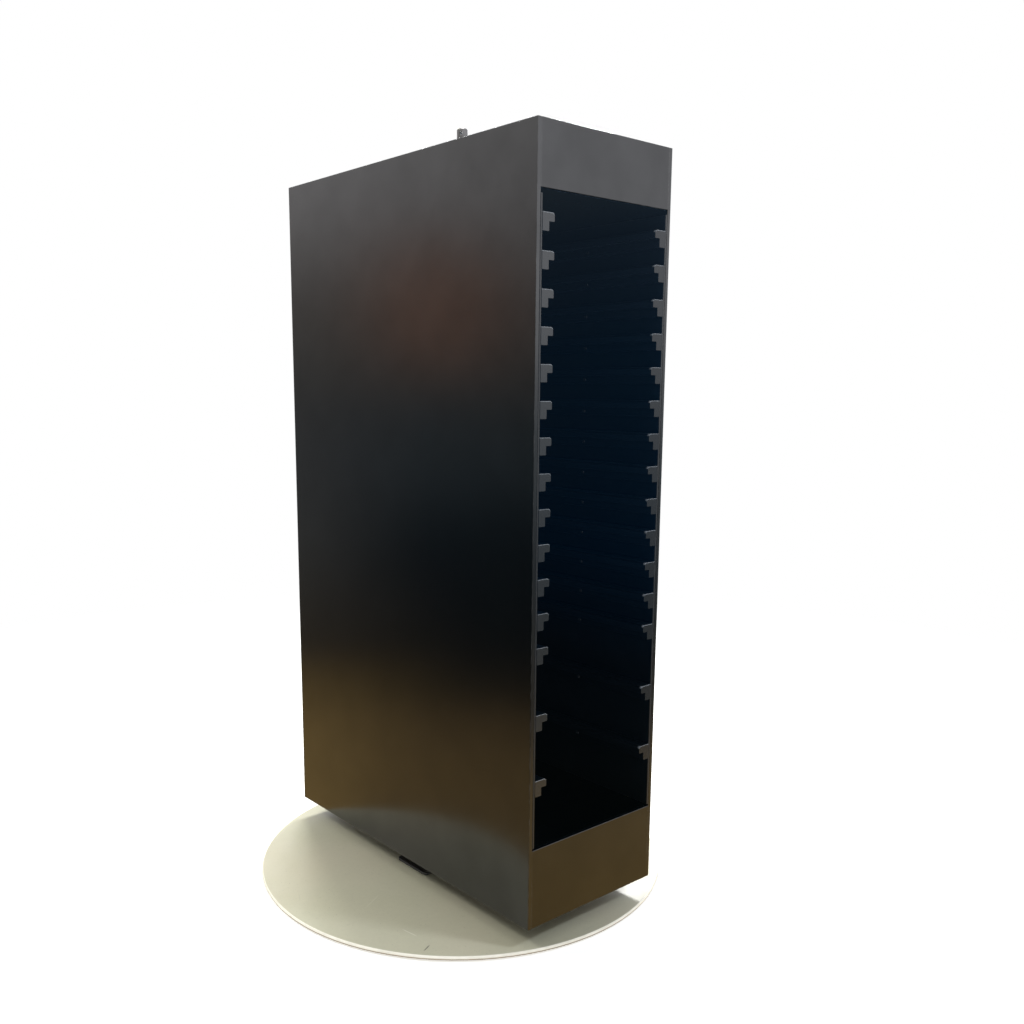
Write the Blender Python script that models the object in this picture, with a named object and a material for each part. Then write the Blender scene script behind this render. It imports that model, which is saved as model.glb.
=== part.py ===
"""Poker chip carousel: a tall double-sided tray cabinet that turns on a round floor plate.

Metres, +Z up. The origin is on the floor at the centre of the floor plate, which is also the axis the
cabinet turns about. The front opening faces -Y and the rear opening faces +Y.

The floor plate stands on rubber pads and carries a fixed spindle. A thrust bearing on the spindle's foot
holds the hub under the cabinet, and a bush at each end of the cabinet runs on the spindle.
"""

from math import asin, cos, degrees, pi, radians, sin

import bmesh
import bpy

# Driving dimensions
PITCH = 0.045                      # height from one tray level to the next
LEVELS = (0, 1, 2, 3, 4, 5, 6, 7, 8, 9, 10, 11, 12, 14, 16)   # levels that have a pair of rails
GAP = 0.0003                       # working gap between neighbouring pieces

WIDTH = 0.245                      # cabinet, outside
DEPTH = 0.589
HEIGHT = 1.036
SHEET = 0.006                      # side panels, fascias, top and bottom plates
LINER = 0.003                      # inner sheet that carries the rails
DIVIDER = 0.003
NOTCH_CLEARANCE = 0.0005           # divider to rail
DIVIDER_CLEARANCE = 0.004          # bush flange to divider
EDGE_ROUND = 0.0008                # rounding on sheet edges

TOP_FASCIA = 0.080
BOTTOM_FASCIA = 0.1125
FIRST_RAIL_DROP = 0.0272           # top fascia's lower edge to the first rail's top
LINER_TOP_DROP = 0.006             # shadow gap between the top fascia and the liner
LINER_BOTTOM_RISE = 0.0025

RAIL_REACH = 0.020                 # upper ledge, measured from the liner
RAIL_WEB = 0.011                   # lower, narrower part
LEDGE_THICKNESS = 0.0105
RAIL_HEIGHT = 0.022
LEDGE_ROUND = 0.0036
RAIL_ROUND = 0.0010

PAD_HEIGHT = 0.002
PAD_RADIUS = 0.020
PAD_CIRCLE = 0.285
PLATE_RADIUS = 0.320
PLATE_THICKNESS = 0.006
PLATE_ROUND = 0.0018
UNDER_CLEARANCE = 0.028            # floor plate's top to the cabinet's underside

FOOT_LENGTH = 0.206                # flat bar under the spindle
FOOT_WIDTH = 0.075
FOOT_THICKNESS = 0.004
FOOT_CORNER = 0.006

SPINDLE_RADIUS = 0.008
SPINDLE_RISE = 0.0565              # spindle's end above the cabinet's top
SPINDLE_CHAMFER = 0.0012
CROSS_HOLE_RADIUS = 0.00275
CROSS_HOLE_DROP = 0.0070           # below the spindle's end
CROSS_HOLE_TURN = 35               # degrees from +X
BOLT_RADIUS = 0.0047
BOLT_HEAD_RADIUS = 0.0108
BOLT_ENGAGEMENT = 0.024

RACE_RADIUS = 0.032
RACE_THICKNESS = 0.005
BALL_RADIUS = 0.004
BALL_RISE = 0.0025                 # ball centres above the lower race's face
BALL_CIRCLE = 0.0225
BALLS = 10
GROOVE_RADIUS = BALL_RADIUS + GAP
CAGE_THICKNESS = 0.002
CAGE_HALF_WIDTH = 0.006

HUB_RADIUS = 0.050
HUB_FLANGE = 0.004
HUB_SKIRT = 0.004
BUSH_WALL = 0.0037
BUSH_FLANGE_RADIUS = 0.018
BUSH_FLANGE = 0.003
COLLAR_RADIUS = 0.016
COLLAR_HEIGHT = 0.012
SET_SCREW_RADIUS = 0.0025

# Heights worked out from the driving dimensions
PLATE_BOTTOM = PAD_HEIGHT + GAP
PLATE_TOP = PLATE_BOTTOM + PLATE_THICKNESS
CABINET_BOTTOM = PLATE_TOP + UNDER_CLEARANCE
CABINET_TOP = CABINET_BOTTOM + HEIGHT
OPENING_BOTTOM = CABINET_BOTTOM + BOTTOM_FASCIA
OPENING_TOP = CABINET_TOP - TOP_FASCIA
FOOT_TOP = PLATE_TOP + GAP + FOOT_THICKNESS
SPINDLE_BOTTOM = FOOT_TOP + GAP
SPINDLE_TOP = CABINET_TOP + SPINDLE_RISE
LOWER_RACE_BOTTOM = FOOT_TOP + GAP
BALL_HEIGHT = LOWER_RACE_BOTTOM + RACE_THICKNESS + BALL_RISE
UPPER_RACE_BOTTOM = 2 * BALL_HEIGHT - LOWER_RACE_BOTTOM - RACE_THICKNESS
UPPER_RACE_TOP = UPPER_RACE_BOTTOM + RACE_THICKNESS
HUB_BOTTOM = UPPER_RACE_TOP + GAP
HUB_TOP = CABINET_BOTTOM - GAP
BOLT_HOLE = BOLT_RADIUS + 5 * GAP
BUSH_BORE = SPINDLE_RADIUS + GAP
BUSH_RADIUS = BUSH_BORE + BUSH_WALL
BUSH_HOLE = BUSH_RADIUS + GAP
LINER_FACE = WIDTH / 2 - SHEET - GAP - LINER      # inner face of each liner, from the middle
INNER_WIDTH = WIDTH - 2 * SHEET - 2 * GAP
INNER_DEPTH = DEPTH - 2 * SHEET - 2 * GAP
FIRST_RAIL_TOP = OPENING_TOP - FIRST_RAIL_DROP
DIVIDER_SETBACK = BUSH_FLANGE_RADIUS + DIVIDER_CLEARANCE + DIVIDER / 2   # each divider's centre, from the axis

ROUND_STEPS = 32                   # sides of a round piece
RIM_STEPS = 96                     # sides of the floor plate
HOLE_STEPS = 16
SCREW_STEPS = 12


# Scene and materials

def clear_scene():
    for obj in list(bpy.data.objects):
        bpy.data.objects.remove(obj)


def material(name, colour, roughness, metallic=0.0):
    found = bpy.data.materials.new(name)
    found.use_nodes = True
    shader = found.node_tree.nodes["Principled BSDF"]
    shader.inputs["Base Color"].default_value = (*colour, 1.0)
    shader.inputs["Roughness"].default_value = roughness
    shader.inputs["Metallic"].default_value = metallic
    found.diffuse_color = (*colour, 1.0)
    return found


def make_materials():
    return {
        "panel": material("black_panel", (0.012, 0.012, 0.013), 0.25),
        "liner": material("black_liner", (0.010, 0.011, 0.014), 0.45),
        "rail": material("black_rail", (0.030, 0.031, 0.034), 0.50),
        "plate": material("cream_paint", (0.66, 0.64, 0.55), 0.45),
        "foot": material("black_steel", (0.014, 0.014, 0.014), 0.40),
        "rubber": material("black_rubber", (0.020, 0.020, 0.020), 0.85),
        "steel": material("steel", (0.45, 0.45, 0.46), 0.30, 1.0),
        "brass": material("brass", (0.70, 0.52, 0.24), 0.30, 1.0),
    }


# Building blocks

def add_object(name, mesh, paint, parent, location=(0, 0, 0)):
    obj = bpy.data.objects.new(name, mesh)
    obj.location = location
    obj.parent = parent
    mesh.materials.append(paint)
    bpy.context.scene.collection.objects.link(obj)
    return obj


def add_axis_empty(name):
    empty = bpy.data.objects.new(name, None)
    bpy.context.scene.collection.objects.link(empty)
    return empty


def mesh_from(bm, name):
    bmesh.ops.recalc_face_normals(bm, faces=bm.faces)
    mesh = bpy.data.meshes.new(name)
    bm.to_mesh(mesh)
    bm.free()
    return mesh


def box_mesh(name, size):
    bm = bmesh.new()
    bmesh.ops.create_cube(bm, size=1.0)
    bmesh.ops.scale(bm, vec=size, verts=bm.verts)
    return mesh_from(bm, name)


def smooth(mesh):
    mesh.shade_smooth()
    mesh.set_sharp_from_angle(angle=radians(35))


def round_edges(obj, width, segments=2):
    bevel = obj.modifiers.new("edges", "BEVEL")
    bevel.width = width
    bevel.segments = segments
    bevel.limit_method = "ANGLE"
    bevel.angle_limit = radians(40)


def add_sheet(name, size, centre, paint, parent):
    """A flat sheet with softened edges."""
    obj = add_object(name, box_mesh(name, size), paint, parent, centre)
    round_edges(obj, EDGE_ROUND)
    return obj


def add_turned(name, profile, paint, parent, steps=ROUND_STEPS, closed=True):
    """A piece turned about +Z. The profile lists (radius, height), down the outside and up the inside."""
    bm = bmesh.new()
    points = [bm.verts.new((radius, 0.0, height)) for radius, height in profile]
    for start, end in zip(points, points[1:]):
        bm.edges.new((start, end))
    if closed:
        bm.edges.new((points[-1], points[0]))
    mesh = bpy.data.meshes.new(name)
    bm.to_mesh(mesh)
    bm.free()
    obj = add_object(name, mesh, paint, parent)
    screw = obj.modifiers.new("turn", "SCREW")
    screw.steps = steps
    screw.render_steps = steps
    screw.use_merge_vertices = True
    screw.merge_threshold = 0.00005
    screw.use_smooth_shade = True
    return obj


def extruded_mesh(name, outline, direction):
    """A flat outline of points, extruded along direction."""
    bm = bmesh.new()
    start = bm.faces.new([bm.verts.new(point) for point in outline])
    made = bmesh.ops.extrude_face_region(bm, geom=[start])
    moved = [item for item in made["geom"] if isinstance(item, bmesh.types.BMVert)]
    bmesh.ops.translate(bm, vec=direction, verts=moved)
    return mesh_from(bm, name)


def add_cutter(name, mesh, parent, location=(0, 0, 0)):
    cutter = bpy.data.objects.new(name, mesh)
    cutter.location = location
    cutter.parent = parent
    cutter.hide_render = True
    cutter.display_type = "WIRE"
    bpy.context.scene.collection.objects.link(cutter)
    return cutter


def rod_mesh(name, radius, length, sides=20):
    bm = bmesh.new()
    bmesh.ops.create_cone(
        bm, cap_ends=True, segments=sides, radius1=radius, radius2=radius, depth=length
    )
    mesh = mesh_from(bm, name)
    smooth(mesh)
    return mesh


def combine(obj, other, operation):
    boolean = obj.modifiers.new(operation.lower(), "BOOLEAN")
    boolean.operation = operation
    boolean.solver = "EXACT"
    boolean.object = other


def corner_arc(centre_x, centre_z, radius, start, end, steps):
    """Points along a rounded corner, from angle start to angle end in degrees."""
    turns = [radians(start + (end - start) * i / steps) for i in range(steps + 1)]
    return [(centre_x + radius * cos(t), centre_z + radius * sin(t)) for t in turns]


# Cabinet

def add_side(side, sign, paints, parent):
    add_sheet(
        f"side_panel_{side}",
        (SHEET, DEPTH, HEIGHT),
        (sign * (WIDTH - SHEET) / 2, 0, CABINET_BOTTOM + HEIGHT / 2),
        paints["panel"],
        parent,
    )
    low = OPENING_BOTTOM + LINER_BOTTOM_RISE
    high = OPENING_TOP - LINER_TOP_DROP
    add_sheet(
        f"liner_{side}",
        (LINER, DEPTH, high - low),
        (sign * (LINER_FACE + LINER / 2), 0, (low + high) / 2),
        paints["liner"],
        parent,
    )


def add_fascias(paints, parent):
    heights = {"top": (OPENING_TOP, CABINET_TOP), "bottom": (CABINET_BOTTOM, OPENING_BOTTOM)}
    for level, (low, high) in heights.items():
        for end, sign in (("front", -1), ("rear", 1)):
            add_sheet(
                f"fascia_{level}_{end}",
                (INNER_WIDTH, SHEET, high - low),
                (0, sign * (DEPTH - SHEET) / 2, (low + high) / 2),
                paints["panel"],
                parent,
            )


def add_end_plate(name, centre_height, paint, parent):
    """The top or bottom of the cabinet, with a round hole for its bush."""
    plate = add_sheet(name, (INNER_WIDTH, INNER_DEPTH, SHEET), (0, 0, centre_height), paint, parent)
    hole = add_cutter(
        f"{name}_hole",
        rod_mesh(f"{name}_hole", BUSH_HOLE, 3 * SHEET, ROUND_STEPS),
        parent,
        (0, 0, centre_height),
    )
    combine(plate, hole, "DIFFERENCE")


def divider_outline():
    """The divider's right half-outline, bottom to top, notched round each rail, as (x, z) points."""
    edge = LINER_FACE - GAP
    web = LINER_FACE - RAIL_WEB - NOTCH_CLEARANCE
    ledge = LINER_FACE - RAIL_REACH - NOTCH_CLEARANCE
    outline = [(edge, CABINET_BOTTOM + SHEET + GAP)]
    for level in reversed(LEVELS):
        top = FIRST_RAIL_TOP - level * PITCH
        low = top - RAIL_HEIGHT - NOTCH_CLEARANCE
        step = top - LEDGE_THICKNESS - NOTCH_CLEARANCE
        high = top + NOTCH_CLEARANCE
        outline += [(edge, low), (web, low), (web, step), (ledge, step), (ledge, high), (edge, high)]
    return outline + [(edge, CABINET_TOP - SHEET - GAP)]


def add_dividers(paint, parent):
    """Two sheets back to back, one each side of the spindle, that stop the trays of each opening."""
    right = divider_outline()
    left = [(-x, z) for x, z in reversed(right)]
    for end, sign in (("front", -1), ("rear", 1)):
        name = f"divider_{end}"
        mesh = extruded_mesh(name, [(x, -DIVIDER / 2, z) for x, z in right + left], (0, DIVIDER, 0))
        add_object(name, mesh, paint, parent, (0, sign * DIVIDER_SETBACK, 0))


def rail_outline():
    """A stepped rail seen from its end: x runs from the liner inwards, z down from the top face."""
    outline = [(0.0, -RAIL_HEIGHT)]
    outline += corner_arc(RAIL_WEB - RAIL_ROUND, -RAIL_HEIGHT + RAIL_ROUND, RAIL_ROUND, -90, 0, 2)
    outline += [(RAIL_WEB, -LEDGE_THICKNESS)]
    outline += corner_arc(RAIL_REACH - RAIL_ROUND, -LEDGE_THICKNESS + RAIL_ROUND, RAIL_ROUND, -90, 0, 2)
    outline += corner_arc(RAIL_REACH - LEDGE_ROUND, -LEDGE_ROUND, LEDGE_ROUND, 0, 90, 4)
    outline += [(0.0, 0.0)]
    return outline


def add_rails(paint, parent):
    """The rails of each side share one mesh; sign is the direction they reach in."""
    for side, sign in (("left", 1), ("right", -1)):
        outline = [(sign * x, -DEPTH / 2, z) for x, z in rail_outline()]
        mesh = extruded_mesh(f"rail_{side}", outline, (0, DEPTH, 0))
        smooth(mesh)
        mesh.materials.append(paint)
        for number, level in enumerate(LEVELS, start=1):
            rail = bpy.data.objects.new(f"rail_{side}_{number:02d}", mesh)
            rail.location = (-sign * (LINER_FACE - GAP), 0, FIRST_RAIL_TOP - level * PITCH)
            rail.parent = parent
            bpy.context.scene.collection.objects.link(rail)


def add_bush(name, low, high, flange_low, paint, parent):
    """A plain bearing with its flange at flange_low; it runs on the spindle."""
    profile = [
        (BUSH_BORE, high),
        (BUSH_FLANGE_RADIUS, high),
        (BUSH_FLANGE_RADIUS, flange_low),
        (BUSH_RADIUS, flange_low),
        (BUSH_RADIUS, low),
        (BUSH_BORE, low),
    ]
    add_turned(name, profile, paint, parent)


def add_hub(paint, parent):
    """A flange under the cabinet that sits on the bearing, with a skirt round the upper race."""
    flange_bottom = HUB_TOP - HUB_FLANGE
    skirt_bottom = UPPER_RACE_BOTTOM + RACE_THICKNESS / 5
    skirt_inside = RACE_RADIUS + GAP
    skirt_outside = skirt_inside + HUB_SKIRT
    profile = [
        (BUSH_HOLE, HUB_TOP),
        (HUB_RADIUS, HUB_TOP),
        (HUB_RADIUS, flange_bottom),
        (skirt_outside, flange_bottom),
        (skirt_outside, skirt_bottom),
        (skirt_inside, skirt_bottom),
        (skirt_inside, HUB_BOTTOM),
        (BUSH_HOLE, HUB_BOTTOM),
    ]
    add_turned("hub", profile, paint, parent)


def add_cabinet(paints):
    cabinet = add_axis_empty("cabinet_axis")
    for side, sign in (("left", -1), ("right", 1)):
        add_side(side, sign, paints, cabinet)
    add_fascias(paints, cabinet)
    add_end_plate("top_plate", CABINET_TOP - SHEET / 2, paints["panel"], cabinet)
    add_end_plate("bottom_plate", CABINET_BOTTOM + SHEET / 2, paints["panel"], cabinet)
    add_dividers(paints["liner"], cabinet)
    add_rails(paints["rail"], cabinet)
    add_hub(paints["foot"], cabinet)
    lower_flange = CABINET_BOTTOM + SHEET + GAP
    upper_flange = CABINET_TOP + GAP
    bushes = {
        "lower_bush": (HUB_BOTTOM + GAP, lower_flange),
        "upper_bush": (CABINET_TOP - SHEET, upper_flange),
    }
    for name, (low, flange_low) in bushes.items():
        add_bush(name, low, flange_low + BUSH_FLANGE, flange_low, paints["brass"], cabinet)
    return cabinet


# Bearing

def groove(height, start, end):
    """The ball track across a race's face, as an arc about the ball's centre."""
    return corner_arc(BALL_CIRCLE, height, GROOVE_RADIUS, start, end, 4)


def add_races(paint, base, cabinet):
    lean = degrees(asin((BALL_HEIGHT - LOWER_RACE_BOTTOM - RACE_THICKNESS) / GROOVE_RADIUS))
    lower = [(BUSH_BORE, LOWER_RACE_BOTTOM + RACE_THICKNESS)]
    lower += groove(BALL_HEIGHT, 180 + lean, 360 - lean)
    lower += [
        (RACE_RADIUS, LOWER_RACE_BOTTOM + RACE_THICKNESS),
        (RACE_RADIUS, LOWER_RACE_BOTTOM),
        (BUSH_BORE, LOWER_RACE_BOTTOM),
    ]
    add_turned("bearing_lower_race", lower, paint, base)
    upper = [
        (BUSH_RADIUS, UPPER_RACE_TOP),
        (RACE_RADIUS, UPPER_RACE_TOP),
        (RACE_RADIUS, UPPER_RACE_BOTTOM),
    ]
    upper += groove(BALL_HEIGHT, lean, 180 - lean)
    upper += [(BUSH_RADIUS, UPPER_RACE_BOTTOM)]
    add_turned("bearing_upper_race", upper, paint, cabinet)


def balls_mesh():
    bm = bmesh.new()
    for number in range(BALLS):
        turn = 2 * pi * number / BALLS
        made = bmesh.ops.create_uvsphere(bm, u_segments=10, v_segments=6, radius=BALL_RADIUS)
        centre = (BALL_CIRCLE * cos(turn), BALL_CIRCLE * sin(turn), BALL_HEIGHT)
        bmesh.ops.translate(bm, vec=centre, verts=made["verts"])
    return mesh_from(bm, "bearing_balls")


def add_ball_cage(paint):
    """The cage ring with its balls, which turns at half the cabinet's speed."""
    cage_axis = add_axis_empty("cage_axis")
    inside = BALL_CIRCLE - CAGE_HALF_WIDTH
    outside = BALL_CIRCLE + CAGE_HALF_WIDTH
    high = BALL_HEIGHT + CAGE_THICKNESS / 2
    low = BALL_HEIGHT - CAGE_THICKNESS / 2
    profile = [(inside, high), (outside, high), (outside, low), (inside, low)]
    cage = add_turned("ball_cage", profile, paint, cage_axis)
    combine(cage, add_cutter("bearing_balls", balls_mesh(), cage_axis), "UNION")


# Base

def add_floor_plate(paint, parent):
    """A round steel plate with a rounded rim, countersunk underneath for the spindle bolt."""
    rim = PLATE_RADIUS - PLATE_ROUND
    profile = [(BOLT_HOLE, PLATE_TOP)]
    profile += corner_arc(rim, PLATE_TOP - PLATE_ROUND, PLATE_ROUND, 90, 0, 3)
    profile += corner_arc(rim, PLATE_BOTTOM + PLATE_ROUND, PLATE_ROUND, 0, -90, 2)
    profile += [(BOLT_HEAD_RADIUS + 2 * GAP, PLATE_BOTTOM), (BOLT_HOLE, PLATE_TOP - PLATE_THICKNESS / 4)]
    add_turned("base_plate", profile, paint, parent, RIM_STEPS)


def add_pads(paint, parent):
    """Four rubber pads under the plate."""
    for number in range(4):
        turn = radians(45 + 90 * number)
        add_object(
            f"foot_pad_{number + 1}",
            rod_mesh("foot_pad", PAD_RADIUS, PAD_HEIGHT, ROUND_STEPS),
            paint,
            parent,
            (PAD_CIRCLE * cos(turn), PAD_CIRCLE * sin(turn), PAD_HEIGHT / 2),
        )


def add_spindle_foot(paint, parent):
    """A flat steel bar on the plate that the spindle and bearing stand on."""
    half_x = FOOT_LENGTH / 2 - FOOT_CORNER
    half_y = FOOT_WIDTH / 2 - FOOT_CORNER
    outline = []
    for quarter, (x_sign, y_sign) in enumerate(((1, 1), (-1, 1), (-1, -1), (1, -1))):
        start = 90 * quarter
        outline += corner_arc(x_sign * half_x, y_sign * half_y, FOOT_CORNER, start, start + 90, 4)
    mesh = extruded_mesh("spindle_foot", [(x, y, 0.0) for x, y in outline], (0, 0, FOOT_THICKNESS))
    foot = add_object("spindle_foot", mesh, paint, parent, (0, 0, PLATE_TOP + GAP))
    round_edges(foot, EDGE_ROUND)
    hole = add_cutter(
        "spindle_foot_hole",
        rod_mesh("spindle_foot_hole", BOLT_HOLE, 4 * FOOT_THICKNESS),
        parent,
        (0, 0, FOOT_TOP),
    )
    combine(foot, hole, "DIFFERENCE")


def add_spindle(paint, parent):
    """A steel rod, tapped at the bottom for its bolt and cross-drilled near the top."""
    tapped = BOLT_RADIUS + GAP
    bore_top = SPINDLE_BOTTOM + BOLT_ENGAGEMENT + BOLT_RADIUS
    profile = [
        (0.0, SPINDLE_TOP),
        (SPINDLE_RADIUS - SPINDLE_CHAMFER, SPINDLE_TOP),
        (SPINDLE_RADIUS, SPINDLE_TOP - SPINDLE_CHAMFER),
        (SPINDLE_RADIUS, SPINDLE_BOTTOM),
        (tapped, SPINDLE_BOTTOM),
        (tapped, bore_top),
        (0.0, bore_top),
    ]
    spindle = add_turned("spindle", profile, paint, parent, closed=False)
    hole = add_cutter(
        "spindle_cross_hole",
        rod_mesh("spindle_cross_hole", CROSS_HOLE_RADIUS, 4 * SPINDLE_RADIUS, HOLE_STEPS),
        parent,
        (0, 0, SPINDLE_TOP - CROSS_HOLE_DROP),
    )
    hole.rotation_euler = (0, radians(90), radians(CROSS_HOLE_TURN))
    combine(spindle, hole, "DIFFERENCE")


def add_spindle_bolt(paint, parent):
    """The countersunk bolt that clamps plate, foot and spindle together from below."""
    head_bottom = PLATE_BOTTOM + GAP
    head_top = head_bottom + PLATE_THICKNESS / 2
    top = SPINDLE_BOTTOM + BOLT_ENGAGEMENT
    profile = [
        (0.0, top),
        (BOLT_RADIUS - GAP, top),
        (BOLT_RADIUS, top - GAP),
        (BOLT_RADIUS, head_top),
        (BOLT_HEAD_RADIUS, head_bottom),
        (0.0, head_bottom),
    ]
    add_turned("spindle_bolt", profile, paint, parent, closed=False)


def add_spindle_collar(paints, parent):
    """A shaft collar over the upper bush, locked by a set screw, that keeps the cabinet down."""
    low = CABINET_TOP + GAP + BUSH_FLANGE + 2 * GAP
    high = low + COLLAR_HEIGHT
    bevel = 2 * GAP
    profile = [
        (BUSH_BORE, high),
        (COLLAR_RADIUS - bevel, high),
        (COLLAR_RADIUS, high - bevel),
        (COLLAR_RADIUS, low + bevel),
        (COLLAR_RADIUS - bevel, low),
        (BUSH_BORE, low),
    ]
    collar = add_turned("spindle_collar", profile, paints["steel"], parent)
    middle = (low + high) / 2
    wall_centre = (COLLAR_RADIUS + BUSH_BORE) / 2
    wall = COLLAR_RADIUS - BUSH_BORE
    hole = add_cutter(
        "set_screw_hole",
        rod_mesh("set_screw_hole", SET_SCREW_RADIUS + GAP, 2 * wall, HOLE_STEPS),
        parent,
        (0, -wall_centre, middle),
    )
    hole.rotation_euler = (radians(90), 0, 0)
    combine(collar, hole, "DIFFERENCE")
    screw = add_object(
        "collar_set_screw",
        rod_mesh("collar_set_screw", SET_SCREW_RADIUS, wall - 4 * GAP, SCREW_STEPS),
        paints["foot"],
        parent,
        (0, -wall_centre, middle),
    )
    screw.rotation_euler = (radians(90), 0, 0)


def add_base(paints):
    base = add_axis_empty("base_origin")
    add_floor_plate(paints["plate"], base)
    add_pads(paints["rubber"], base)
    add_spindle_foot(paints["foot"], base)
    add_spindle(paints["steel"], base)
    add_spindle_bolt(paints["steel"], base)
    add_spindle_collar(paints, base)
    return base


def main():
    clear_scene()
    paints = make_materials()
    cabinet = add_cabinet(paints)
    base = add_base(paints)
    add_races(paints["steel"], base, cabinet)
    add_ball_cage(paints["steel"])


main()
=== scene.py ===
"""Looks for the poker chip carousel: materials, small screws, floor, light and camera.

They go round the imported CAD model, in metres, +Z up. The cabinet's front opening faces -Y and its
left panel faces -X.
"""

from math import cos, pi, radians, sin

import bmesh
import bpy
from mathutils import Matrix, Vector

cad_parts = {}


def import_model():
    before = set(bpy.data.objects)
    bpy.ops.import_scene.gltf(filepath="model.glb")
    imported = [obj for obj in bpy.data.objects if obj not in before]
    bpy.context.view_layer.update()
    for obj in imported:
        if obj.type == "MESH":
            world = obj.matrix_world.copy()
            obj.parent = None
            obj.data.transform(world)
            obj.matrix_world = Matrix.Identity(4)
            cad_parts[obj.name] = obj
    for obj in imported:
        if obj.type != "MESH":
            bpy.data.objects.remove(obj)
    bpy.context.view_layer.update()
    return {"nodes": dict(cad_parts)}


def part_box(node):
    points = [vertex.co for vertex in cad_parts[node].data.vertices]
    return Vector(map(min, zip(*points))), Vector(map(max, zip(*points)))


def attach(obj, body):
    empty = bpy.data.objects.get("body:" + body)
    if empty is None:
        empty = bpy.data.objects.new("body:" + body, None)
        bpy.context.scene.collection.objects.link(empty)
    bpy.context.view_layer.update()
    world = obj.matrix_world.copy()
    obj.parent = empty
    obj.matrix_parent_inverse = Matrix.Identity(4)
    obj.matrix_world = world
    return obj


# Camera: where it stands, where it aims in degrees, and its lens
CAMERA_PLACE = (-0.9729, -1.2115, 0.7538)
CAMERA_YAW = 40.83                 # from +Y towards +X
CAMERA_PITCH = -9.5
CAMERA_ROLL = 0.38
LENS = 35.35
SENSOR = 36.0
SHIFT = (0.0139, 0.0448)
CLIP = (0.01, 200.0)

# Screw heads
RAIL_SCREW_RADIUS = 0.0027
RAIL_SCREW_HEIGHT = 0.0014
BAR_SCREW_RADIUS = 0.0045
BAR_SCREW_HEIGHT = 0.0022
HUB_SCREW_RADIUS = 0.0042
HUB_SCREW_HEIGHT = 0.0024
SCREW_SEGMENTS = 24
SCREW_CREASE = 35                  # degrees; a sharper fold than this stays a crease
SOCKET_REACH = 0.50                # hexagon's reach, as a share of the head's radius
SOCKET_FLOOR = 0.35                # socket's floor, as a share of the head's height
DOME = (                           # from the seat to the flat on top: shares of radius and height
    (1.0, 0.0),
    (1.0, 0.18),
    (0.965, 0.36),
    (0.87, 0.62),
    (0.74, 0.84),
    (0.62, 0.95),
    (0.56, 1.0),
)

# Where the screws sit
RAIL_SCREW_SHARES = (("front", 0.228), ("rear", 0.772))    # along the rail
RAIL_WEB = 0.011                   # from a rail's outer side to the face its screws sit on
LEDGE = 0.0105                     # thickness of a rail's ledge
BAR_SCREW_SHARES = ((0.12, 0.2), (0.12, 0.8), (0.88, 0.2), (0.88, 0.8))
HUB_SCREWS = 4
HUB_SCREW_START = 45               # degrees
HUB_SCREW_CIRCLE = 0.0435
HUB_FLANGE = 0.004                 # thickness of the hub's flange

# Ground welds between fascias and side panels
SEAM_HALF_WIDTH = 0.0011
SEAM_DEPTH = 0.0007
SEAM_INSET = 0.0008
SEAM_STEPS = 10
SEAM_CREASE = 40                   # degrees

# Marks on the floor plate's top: x, y, turn, length, width, strength, tone
SCUFFS = (
    (-0.223, -0.202, 24, 0.018, 0.0012, 0.85, 0.07),
    (-0.218, -0.155, 100, 0.032, 0.0007, 0.50, 0.95),
    (-0.285, 0.030, 64, 0.020, 0.0007, 0.30, 0.30),
    (-0.210, -0.050, 28, 0.045, 0.0006, 0.22, 0.92),
    (-0.170, 0.200, 15, 0.030, 0.0007, 0.25, 0.35),
    (0.215, -0.100, 70, 0.040, 0.0007, 0.30, 0.35),
    (0.240, 0.110, 20, 0.028, 0.0008, 0.35, 0.30),
    (0.180, 0.210, 120, 0.036, 0.0007, 0.28, 0.90),
    (-0.020, -0.308, 5, 0.026, 0.0007, 0.35, 0.32),
    (0.060, 0.306, 170, 0.030, 0.0007, 0.30, 0.34),
)

# The floor plate's rim, where a painted highlight and painted shade go, in from the edge and up
# from the underside: start and full strength
RIM_HIGHLIGHT_BAND = (0.0022, 0.0012)
RIM_SHADE_BAND = (0.0030, 0.0018)
PLATE_MIRROR_GAIN = 1.4            # how much brighter the sheets mirror the plate

# Inside of the cabinet
INSIDE = (0.005, 0.0012, 0.005)    # how far in from the cabinet's outside its inner faces begin
INSIDE_FADE = 0.0005
SHEET_GAIN = 0.4                   # the inner sheets' painted light and shade, as a share of the tones below
WEB_GAIN = 0.32                    # the same for a rail's sides, raised as painted light against the shade under the ledges
LEDGE_GAIN = 0.1                   # and for the top of its ledge, lowered as painted shade where light falls on it
HAZE_GLOW_GAIN = 0.245                  # painted glow: the faint haze that everything inside emits
INSIDE_PAINTED_LIGHT = (                   # painted light and shade inside, lighter and bluer towards the top: share of the cabinet's height, tone
    (0.10, (0.0025, 0.0045, 0.0050)),
    (0.31, (0.0014, 0.0048, 0.0090)),
    (0.47, (0.0012, 0.0108, 0.0265)),
    (0.75, (0.0050, 0.0178, 0.0370)),
    (0.91, (0.0170, 0.0310, 0.0510)),
    (1.00, (0.0400, 0.0580, 0.0760)),
)

# Bands along edges, where a painted sheen and a painted highlight go: start and full strength
EDGE_SHEEN_BAND = (0.0016, 0.0012)
TOP_HIGHLIGHT_BAND = (0.0045, 0.0010)
TOP_HIGHLIGHT_ROUNDING = 0.0016

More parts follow.
